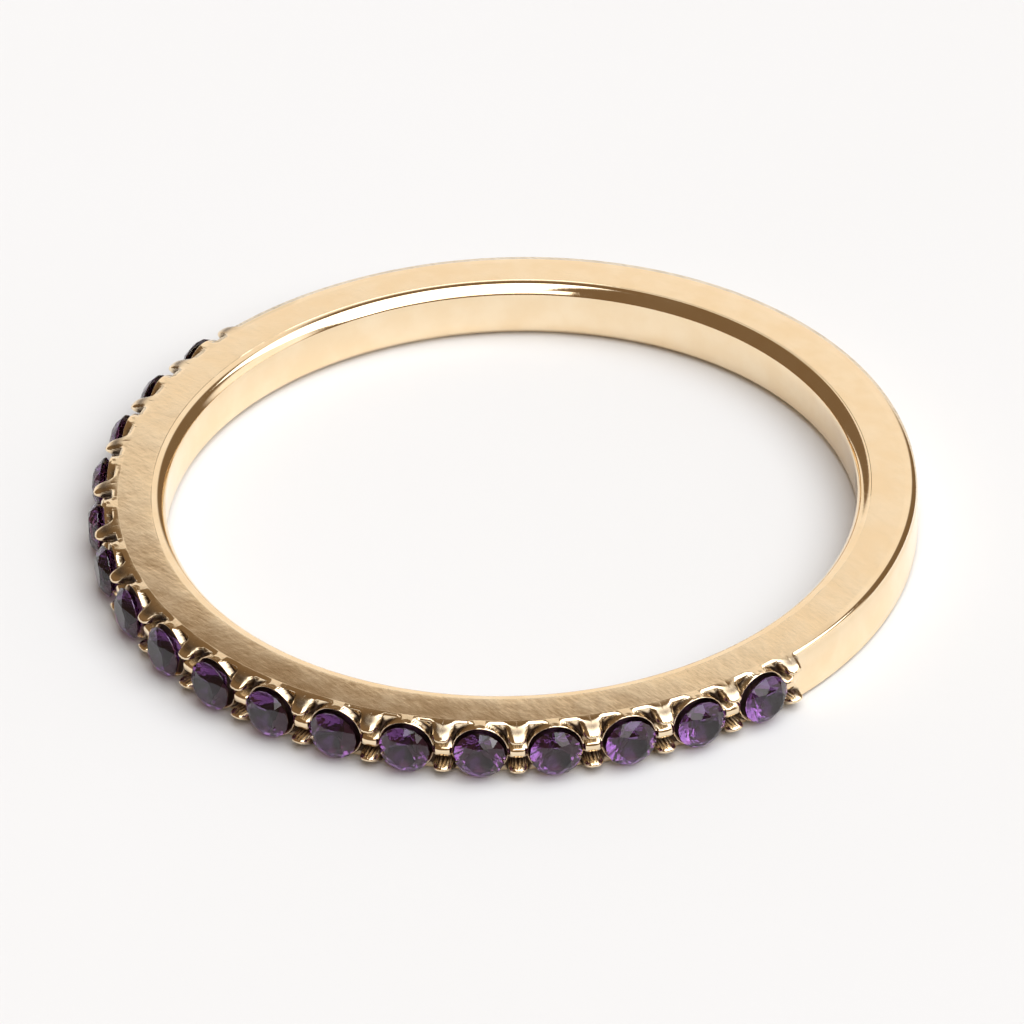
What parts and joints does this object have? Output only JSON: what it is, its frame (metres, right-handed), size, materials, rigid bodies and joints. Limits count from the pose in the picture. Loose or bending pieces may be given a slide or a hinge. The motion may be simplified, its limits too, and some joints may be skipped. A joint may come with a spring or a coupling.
{
  "type": "stackable ring",
  "caption": "Thin gold-tone stacking ring with flat satin sides and bevelled rims, half its outer face set with one proud row of small violet stones in shared prongs.",
  "frame": {"origin": "centre of the ring's footprint, on the plane of the base side face that the ring lies on; the finger hole's axis stands 0.22 mm towards +Y, since the stone row adds to the -Y half alone", "axes": "+Z along the finger hole's axis, up as it lies; -Y points to the middle stone of the row; the row is even about the YZ plane"},
  "size_m": [0.0212, 0.0208, 0.0015],
  "materials": {
    "gold_tone": "pale gold-tone plate: polished bore, rims, prongs and outer wall, satin side faces with fine scratches",
    "violet_stone": "clear violet faceted stone, polished"
  },
  "bodies": {
    "root": {"band": "gold_tone", "stone_01": "violet_stone", "stone_02": "violet_stone", "stone_03": "violet_stone", "stone_04": "violet_stone", "stone_05": "violet_stone", "stone_06": "violet_stone", "stone_07": "violet_stone", "stone_08": "violet_stone", "stone_09": "violet_stone", "stone_10": "violet_stone", "stone_11": "violet_stone", "stone_12": "violet_stone", "stone_13": "violet_stone", "stone_14": "violet_stone", "stone_15": "violet_stone", "stone_16": "violet_stone", "stone_17": "violet_stone"}
  },
  "joints": []
}
